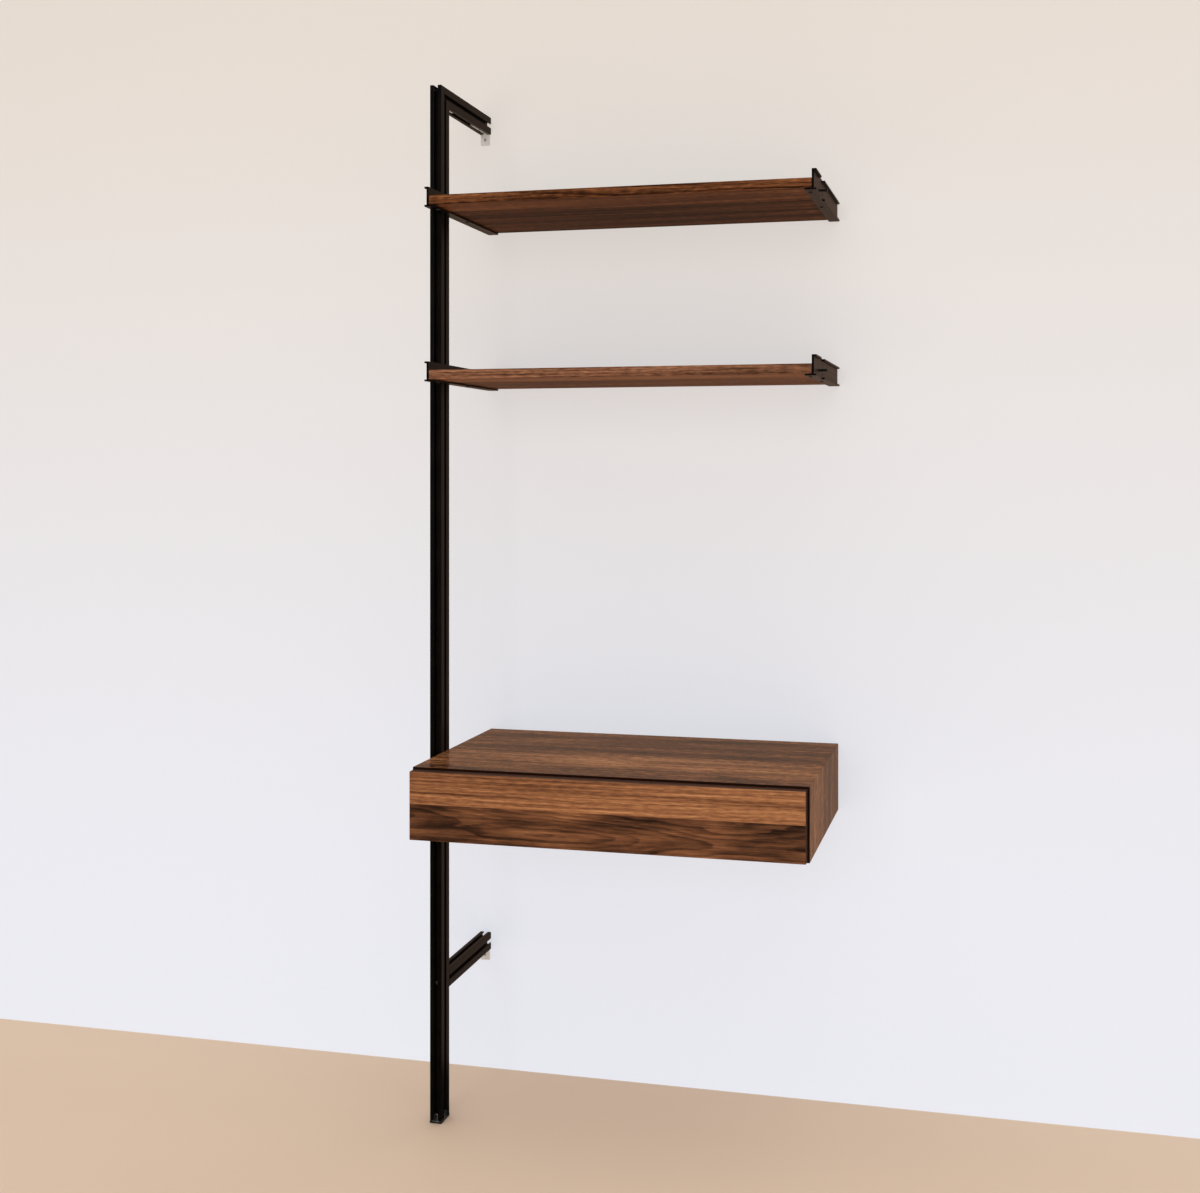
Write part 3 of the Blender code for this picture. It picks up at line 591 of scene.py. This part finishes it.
tree.links.new(reckon(tree, "MULTIPLY_ADD", pore, PORE_ROUGHNESS, gloss), result.inputs["Roughness"])
relief = reckon(tree, "MULTIPLY_ADD", fibre, FIBRE_RELIEF, RELIEF_LEVEL)
tree.links.new(reckon(tree, "MULTIPLY_ADD", pore, PORE_RELIEF, relief), result.inputs["Height"])


def run(tree, place, axis, sign, start):
    """Distance along one axis of the piece, counted from start."""
    return reckon(tree, "MULTIPLY_ADD", coordinate(tree, place, axis), sign, -sign * start)


def walnut_board(name, along, across, through, width, staves, grain, sheen):
    """Walnut for one board, whose runs along, across and through the grain are (axis, sign, start).

    Its staves are (start, tone, swirl, heart, log), with start and heart as shares of the width. A quality of
    the grain is one number, or a pair that suits straight staves and swirled ones.
    """
    material, tree, shader, place = new_material(name)
    side = run(tree, place, *across)
    stops = [(start, qualities) for start, *qualities in staves]
    stave = colour_ramp(tree, reckon(tree, "DIVIDE", side, width), stops, "CONSTANT")
    tone, swirl, heart = shader_node(tree, "SeparateColor", {0: stave["Color"]}).outputs
    figure = {
        "Along": run(tree, place, *along), "Across": side, "Through": run(tree, place, *through),
        "Tone": tone, "Swirl": swirl, "Heart": reckon(tree, "MULTIPLY", heart, width), "Log": stave["Alpha"],
    }
    for quality, value in grain.items():
        if isinstance(value, tuple):
            straight, swirled = value
            value = reckon(tree, "MULTIPLY_ADD", swirl, swirled - straight, straight)
        figure[quality] = value
    wood = place_group(tree, walnut_figure, figure)
    normal = bump(tree, wood["Height"], GRAIN_DEPTH)
    feed_shader(tree, shader, Base_Color=wood["Color"], Roughness=wood["Roughness"], Normal=normal)
    shader.inputs["Specular IOR Level"].default_value = sheen
    return material, tree, shader, place, wood["Color"]


SHELF_SHEEN = 0.02
SHELF_GRAIN = {"Streaks": 1.15, "Bands": 0.55, "Mottle": 0.0, "Flecks": 0.80, "Satin": 0.36}
EDGE_STRIP = 0.006
STRIP_BLUR = 0.9
SHELF_STAVES = {
    "upper_shelf": [
        (0.0, 0.325, 0.15, 0.15, 0.25), (EDGE_STRIP, 0.42, 0.15, 0.15, 0.25),
        (0.29, 0.26, 0.30, 0.46, 0.75), (0.62, 0.26, 0.05, 0.80, 0.31),
    ],
    "lower_shelf": [
        (0.0, 0.45, 0.10, 0.12, 0.20), (EDGE_STRIP, 0.61, 0.10, 0.12, 0.20),
        (0.33, 0.41, 0.25, 0.52, 0.85), (0.66, 0.42, 0.05, 0.83, 0.36),
    ],
}
STRIP_SATURATION = {"lower_shelf": 0.89}

for name, staves in SHELF_STAVES.items():
    low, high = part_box(name)
    width = high.y - low.y
    runs = ((X, 1, low.x), (Y, 1, low.y), (Z, 1, low.z))
    material, tree, shader, place, colour = walnut_board(
        name + "_walnut", *runs, width, staves, SHELF_GRAIN, SHELF_SHEEN
    )
    if name in STRIP_SATURATION:
        depth = run(tree, place, Y, 1, low.y)
        strip = remap(tree, depth, (EDGE_STRIP * width, EDGE_STRIP * width * STRIP_BLUR))
        greyed = shader_node(tree, "HueSaturation", {"Color": colour, "Saturation": STRIP_SATURATION[name]})
        feed_shader(tree, shader, Base_Color=blend_colours(tree, strip, colour, greyed.outputs[0]))
    dress(material, name)


# Desk case
# Four walnut boards mitred at the corners so that the grain runs over the top and down the sides, and a back.
# They are oiled smoother than the shelves. Their front edges are coloured near black, a painted shadow line
# round the drawer front that stands for the shade in the gap.

CASE_EDGE_PAINTED_SHADOW = (0.0170, 0.0055, 0.0030, 1.0)
EDGE_DARK_DEPTHS = (0.0006, 0.0003)
CASE_SHEEN = 0.30
CASE_GRAIN = {"Streaks": 1.25, "Bands": 0.90, "Mottle": 0.85, "Flecks": 1.4, "Satin": 0.18}
CASE_STAVES = [
    (0.0, 0.37, 0.50, 0.28, 0.488), (0.10, 0.52, 0.50, 0.28, 0.488), (0.20, 0.62, 0.50, 0.28, 0.488),
    (0.445, 0.30, 0.15, 0.66, 0.30), (0.76, 0.32, 0.05, 0.90, 0.77),
]
BACK_START = 0.3

case_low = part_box("case_bottom")[0]
case_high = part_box("case_top")[1]
case_depth = case_high.y - case_low.y
case_height = case_high.z - case_low.z
case_runs = {
    "case_top": ((X, 1, 0.0), (Z, -1, case_high.z)),
    "case_right_side": ((Z, -1, case_high.z + case_high.x), (X, -1, case_high.x)),
    "case_left_side": ((Z, 1, case_high.z - case_low.x), (X, 1, case_low.x)),
    "case_bottom": ((X, -1, 2 * case_high.x + case_height), (Z, 1, case_low.z)),
    "case_back": ((X, 1, BACK_START), (Y, -1, case_high.y)),
}


def darken_edge(tree, shader, depth, colour, stain_and_shadow):
    """Blend the wood's colour towards a darker one where the depth from an edge is small."""
    near_edge = remap(tree, depth, EDGE_DARK_DEPTHS)
    feed_shader(tree, shader, Base_Color=blend_colours(tree, near_edge, colour, stain_and_shadow))


for name, (along, through) in case_runs.items():
    across = (Z, 1, case_low.z) if name == "case_back" else (Y, 1, case_low.y)
    material, tree, shader, place, colour = walnut_board(
        name + "_walnut", along, across, through, case_depth, CASE_STAVES, CASE_GRAIN, CASE_SHEEN
    )
    # Painted shadow: the case's front edges are coloured near black to stand for the shade in the gap round
    # the drawer front.
    darken_edge(tree, shader, run(tree, place, Y, 1, case_low.y), colour, CASE_EDGE_PAINTED_SHADOW)
    dress(material, name)


# Drawer front
# One walnut board of two staves, a pale straight-grained one over a dark figured one, with eased edges.
# It overlays the case, is screwed on from inside the drawer, and has no handle. Its edges are coloured
# darker.

FRONT_EDGE_DARK = (0.0480, 0.0180, 0.0090, 1.0)
FRONT_GRAIN = {
    "Streaks": (1.05, 0.50), "Bands": 0.55, "Mottle": (0.0, 0.90), "Flecks": (0.58, 0.30), "Satin": 0.36,
}
FRONT_STAVES = [(0.0, 0.350, 1.0, 0.28, 0.5607), (0.53, 0.67, 0.0, 0.95, 0.60)]

low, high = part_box("drawer_front")
runs = ((X, 1, low.x), (Z, 1, low.z), (Y, 1, low.y))
material, tree, shader, place, colour = walnut_board(
    "drawer_front_walnut", *runs, high.z - low.z, FRONT_STAVES, FRONT_GRAIN, CASE_SHEEN
)
from_ends = reckon(tree, "MINIMUM", run(tree, place, X, 1, low.x), run(tree, place, X, -1, high.x))
from_sides = reckon(tree, "MINIMUM", run(tree, place, Z, 1, low.z), run(tree, place, Z, -1, high.z))
darken_edge(tree, shader, reckon(tree, "MINIMUM", from_ends, from_sides), colour, FRONT_EDGE_DARK)
dress(material, "drawer_front")


# Drawer box
# Birch plywood, clear lacquered: two sides, a front and a back, with a thin bottom held in grooves.
# The faces show pale straight birch, and the cut edges show the plies.

BIRCH_PALE = (0.620, 0.470, 0.300, 1.0)
BIRCH_DEEP = (0.470, 0.330, 0.190, 1.0)
BIRCH_LINES = (260.0, 5.0)
BIRCH_LINE_DETAIL = 3.0
BIRCH_LINE_SPAN = (0.30, 0.70)
BIRCH_FLECKS = (40.0, 9.0)
BIRCH_ROUGHNESS = (0.40, 0.55)
BIRCH_RELIEF = 0.00004
PLY_DARK = (0.230, 0.140, 0.075, 1.0)
PLY_DARK_SHARE = 0.75
PLY_THICKNESS = 0.0014
PLY_SPAN = (0.22, 0.28)
CUT_FACING = (0.30, 0.20)
BOX_ROUNDING = 0.0007
DRAWER_BOX = {
    "drawer_left_side": (Y, X), "drawer_right_side": (Y, X),
    "drawer_box_front": (X, Y), "drawer_back": (X, Y), "drawer_bottom": (X, Z),
}


def birch_ply(name, along, through, start):
    """Birch plywood with its face grain along one axis and its plies stacked through another."""
    material, tree, shader, place = new_material(name)
    grain = stretched_noise(tree, place, stretch_along(along, BIRCH_LINES), BIRCH_LINE_DETAIL)
    flecks = stretched_noise(tree, place, stretch_along(along, BIRCH_FLECKS))
    face = blend_colours(tree, reckon(tree, "MULTIPLY", grain, flecks), BIRCH_PALE, BIRCH_DEEP)
    ply = reckon(tree, "DIVIDE", run(tree, place, through, 1, start), 2 * PLY_THICKNESS)
    crossed = remap(tree, reckon(tree, "PINGPONG", ply, 0.5), PLY_SPAN)
    facing = coordinate(tree, shader_node(tree, "NewGeometry").outputs["Normal"], through)
    cut = remap(tree, reckon(tree, "ABSOLUTE", facing), CUT_FACING)
    edge = reckon(tree, "MULTIPLY", cut, reckon(tree, "MULTIPLY", crossed, PLY_DARK_SHARE))
    shade = blend_colours(tree, edge, face, PLY_DARK)
    roughness = remap(tree, grain, BIRCH_LINE_SPAN, BIRCH_ROUGHNESS)
    feed_shader(tree, shader, Base_Color=shade, Roughness=roughness, Normal=bump(tree, grain, BIRCH_RELIEF))
    return material


for name, (along, through) in DRAWER_BOX.items():
    dress(birch_ply(name + "_ply", along, through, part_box(name)[0][through]), name)
    soften(BOX_ROUNDING, name)


# Drawer front screws
# Four zinc plated pan-head screws with a cross recess, turned from wire and driven from inside the drawer
# through the box's front, so that they pull the walnut front on.

PAN_HEAD = 0.0019
PAN_HEAD_RADIUS = 0.0036
PAN_SHANK_RADIUS = 0.0019
FRONT_SCREW_LENGTH = 0.022
FRONT_SCREW_SIDE_INSET = 0.110
FRONT_SCREW_LEVEL_INSET = 0.022
# Radius of the cross's edge at each step of a quarter turn, as a share of its reach.
CROSS_SHAPE = (1.0, 1.035, 0.536, 0.379, 0.536, 1.035)
CROSS_REACH = 0.0018

cross_recess = [CROSS_REACH * CROSS_SHAPE[i % len(CROSS_SHAPE)] for i in range(ROUND_STEPS)]


def pan_screw(name, start, axis, facing, length):
    """Pan-head screw that holds something to the drawer."""
    outline = domed_outline(PAN_HEAD_RADIUS, PAN_HEAD, PAN_SHANK_RADIUS, length)
    turned_screw(
        name, "drawer", start, axis, facing, outline, cross_recess, RECESS_DEPTH, zinc_bright
    )


low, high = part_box("drawer_box_front")
sides = {"left": low.x + FRONT_SCREW_SIDE_INSET, "right": high.x - FRONT_SCREW_SIDE_INSET}
levels = {"lower": low.z + FRONT_SCREW_LEVEL_INSET, "upper": high.z - FRONT_SCREW_LEVEL_INSET}
for side, x in sides.items():
    for level, z in levels.items():
        start = (x, high.y + PAN_HEAD, z)
        pan_screw(f"drawer_front_{side}_{level}_screw", start, Y, 1, FRONT_SCREW_LENGTH)


# Drawer slides
# Three nested channels a side, folded from zinc plated steel sheet and lightly greased.
# One is screwed to the case, one to the drawer, and the one between them runs out half as far.

SLIDE_MEMBERS = ("case", "middle", "drawer")
SLIDES = [f"slide_{side}_{member}_member" for side in ("left", "right") for member in SLIDE_MEMBERS]
SLIDE_ROUNDING = 0.0004
SLIDE_SHEET = 0.0012
SLIDE_SCREW_LENGTH = 0.011
SLIDE_SCREW_INSET = 0.032

dress(zinc_bright, *SLIDES)
soften(SLIDE_ROUNDING, *SLIDES)

for side, inward in (("left", 1), ("right", -1)):
    low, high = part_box(f"slide_{side}_drawer_member")
    middle = (low + high) / 2
    web = high.x if side == "left" else low.x
    seat = web - inward * (SLIDE_SHEET + PAN_HEAD)
    ends = {"front": low.y + SLIDE_SCREW_INSET, "middle": middle.y, "rear": high.y - SLIDE_SCREW_INSET}
    for end, y in ends.items():
        pan_screw(f"slide_{side}_{end}_screw", (seat, y, middle.z), X, -inward, SLIDE_SCREW_LENGTH)


# Stage: floor and wall
# A plain pale floor, and a plain pale wall that shows only from the front, so that the back can be seen too.
# The wall glows a little, so the shadows on it stay soft, and the floor throws extra light on undersides.
# In mirror images the floor is nearly black and the wall a dim brown, which keeps the black metal black.

STAGE_LEFT, STAGE_RIGHT = -6.0, 8.0
FLOOR_NEAR, FLOOR_FAR = -7.0, 6.0
FLOOR_LEVEL = -0.0002
FLOOR_TINT = (0.77, 0.575, 0.412, 1.0)
FLOOR_PALER = 1.06
FLOOR_CLOUDS = (0.8, 3.0, 1.0)
FLOOR_ROUGHNESS = 0.6
FLOOR_GLOW = 0.46
FLOOR_GLOW_TINT = (0.82, 0.77, 0.72, 1.0)
FLOOR_MIRRORED = (0.020, 0.015, 0.010, 1.0)
WALL_TOP = 4.5
WALL_CLEARANCE = 0.0004
WALL_LOW = (0.845, 0.872, 0.950, 1.0)
WALL_HIGH = (0.825, 0.750, 0.670, 1.0)
WALL_TINT_HEIGHTS = (0.1, 2.9)
WALL_ROUGHNESS = 0.9
WALL_GLOW = 0.654
WALL_DULLED = 0.68
WALL_MIRRORED = (0.280, 0.183, 0.135, 1.0)
BLACK = (0.0, 0.0, 0.0, 1.0)


def plane(name, corners, material):
    """Flat stage plane through four corners."""
    mesh = bpy.data.meshes.new(name)
    mesh.from_pydata(corners, [], [(0, 1, 2, 3)])
    mesh.materials.append(material)
    made = bpy.data.objects.new(name, mesh)
    bpy.context.scene.collection.objects.link(made)


def mix_shaders(tree, share, first, second):
    """Shader between two others."""
    return shader_node(tree, "MixShader", {0: share, 1: first, 2: second}).outputs[0]


floor_paint, tree, shader, place = new_material("floor_paint")
paler = (*[FLOOR_PALER * value for value in FLOOR_TINT[:3]], 1.0)
clouds = stretched_noise(tree, place, FLOOR_CLOUDS)
feed_shader(tree, shader, Base_Color=blend_colours(tree, clouds, FLOOR_TINT, paler))
shader.inputs["Roughness"].default_value = FLOOR_ROUGHNESS
shader.inputs["Emission Color"].default_value = FLOOR_GLOW_TINT
rays = shader_node(tree, "LightPath").outputs
feed_shader(tree, shader, Emission_Strength=reckon(tree, "MULTIPLY", rays["Is Diffuse Ray"], FLOOR_GLOW))
image = shader_node(tree, "BsdfDiffuse", {"Color": FLOOR_MIRRORED}).outputs[0]
seen = mix_shaders(tree, rays["Is Glossy Ray"], shader.outputs[0], image)
tree.links.new(seen, tree.nodes["Material Output"].inputs["Surface"])
floor_corners = [
    (STAGE_LEFT, FLOOR_NEAR, FLOOR_LEVEL), (STAGE_RIGHT, FLOOR_NEAR, FLOOR_LEVEL),
    (STAGE_RIGHT, FLOOR_FAR, FLOOR_LEVEL), (STAGE_LEFT, FLOOR_FAR, FLOOR_LEVEL),
]
plane("floor", floor_corners, floor_paint)

wall_paint, tree, shader, place = new_material("wall_paint")
# Painted light: the wall's colour turns from cool low down to warm near the top, standing in for the colour
# of the light falling on it.
tint = blend_colours(tree, remap(tree, coordinate(tree, place, Z), WALL_TINT_HEIGHTS), WALL_LOW, WALL_HIGH)
feed_shader(tree, shader, Base_Color=blend_colours(tree, WALL_DULLED, tint, BLACK), Emission_Color=tint)
shader.inputs["Emission Strength"].default_value = WALL_GLOW
shader.inputs["Roughness"].default_value = WALL_ROUGHNESS
shader.inputs["Specular IOR Level"].default_value = 0.0
rays = shader_node(tree, "LightPath").outputs
image = shader_node(tree, "Emission", {"Color": WALL_MIRRORED, "Strength": 1.0}).outputs[0]
paint = mix_shaders(tree, rays["Is Glossy Ray"], shader.outputs[0], image)
behind = shader_node(tree, "NewGeometry").outputs["Backfacing"]
open_side = reckon(tree, "MAXIMUM", behind, rays["Is Shadow Ray"])
seen = mix_shaders(tree, open_side, paint, shader_node(tree, "BsdfTransparent").outputs[0])
tree.links.new(seen, tree.nodes["Material Output"].inputs["Surface"])
wall_y = cad_high.y + WALL_CLEARANCE
wall_corners = [
    (STAGE_LEFT, wall_y, 0.0), (STAGE_RIGHT, wall_y, 0.0),
    (STAGE_RIGHT, wall_y, WALL_TOP), (STAGE_LEFT, wall_y, WALL_TOP),
]
plane("wall", wall_corners, wall_paint)


# Studio light
# One wide softbox far in front, and a dim room: a faint band at eye level, a bright ceiling, a paler right
# side, and from behind as much light as the wall gives. The softbox leaves no mirror image in the surfaces.

SOFTBOX_WATTS = 325.0
SOFTBOX_SIZE = (6.0, 5.0)
SOFTBOX_PLACE = (0.6, -8.0, 2.2)
SOFTBOX_TILT = radians(84.0)
ROOM_DIM = 0.05
ROOM_BAND = 0.15
ROOM_RIGHT = 0.60
ROOM_CEILING = 1.60
ROOM_BEHIND = 1.10
# Spans over which the parts of the room fade in or out, on one axis of the direction looked in.
BAND_SPAN = (0.02, 0.20)
RIGHT_SPAN = (0.25, 0.85)
CEILING_SPAN = (0.45, 0.85)
BEHIND_SPAN = (-0.10, 0.15)
BACKDROP = (0.82, 0.81, 0.80, 1.0)

softbox_light = bpy.data.lights.new("softbox", "AREA")
softbox_light.shape = "RECTANGLE"
softbox_light.size, softbox_light.size_y = SOFTBOX_SIZE
softbox_light.energy = SOFTBOX_WATTS
softbox = bpy.data.objects.new("softbox", softbox_light)
softbox.location = SOFTBOX_PLACE
softbox.rotation_euler = (SOFTBOX_TILT, 0.0, 0.0)
softbox.visible_glossy = False
softbox.visible_camera = False
bpy.context.scene.collection.objects.link(softbox)

studio = bpy.data.worlds.new("studio")
bpy.context.scene.world = studio
studio.use_nodes = True
tree = studio.node_tree
direction = shader_node(tree, "TexCoord").outputs["Generated"]
right, back, up = shader_node(tree, "SeparateXYZ", {0: direction}).outputs
band = remap(tree, reckon(tree, "ABSOLUTE", up), BAND_SPAN, (ROOM_BAND, ROOM_DIM))
room = reckon(tree, "MAXIMUM", band, remap(tree, up, CEILING_SPAN, (ROOM_DIM, ROOM_CEILING)))
room = reckon(tree, "MAXIMUM", room, remap(tree, right, RIGHT_SPAN, (0.0, ROOM_RIGHT)))
rear = remap(tree, back, BEHIND_SPAN)
level = reckon(tree, "MULTIPLY_ADD", rear, reckon(tree, "SUBTRACT", ROOM_BEHIND, room), room)
light = shader_node(tree, "Background", {"Strength": level}).outputs[0]
backdrop = shader_node(tree, "Background", {"Color": BACKDROP, "Strength": 1.0}).outputs[0]
seen = mix_shaders(tree, shader_node(tree, "LightPath").outputs["Is Camera Ray"], light, backdrop)
tree.links.new(seen, tree.nodes["World Output"].inputs["Surface"])
bpy.context.scene.view_settings.view_transform = "Standard"


# Camera
# Level, so that uprights stay upright, and turned a little to the left. The lens is shifted as the
# picture's framing needs.

CAMERA_PLACE = (1.17111, -2.47040, 1.34185)
CAMERA_TURN = radians(11.6599)
SENSOR_WIDTH = 36.0
LENS = 38.516
LENS_SHIFT = (-0.12731, -0.10517)

camera = bpy.data.objects.new("camera", bpy.data.cameras.new("camera"))
camera.location = CAMERA_PLACE
camera.rotation_euler = (radians(90.0), 0.0, CAMERA_TURN)
camera.data.sensor_width = SENSOR_WIDTH
camera.data.lens = LENS
camera.data.shift_x, camera.data.shift_y = LENS_SHIFT
bpy.context.scene.collection.objects.link(camera)
bpy.context.scene.camera = camera
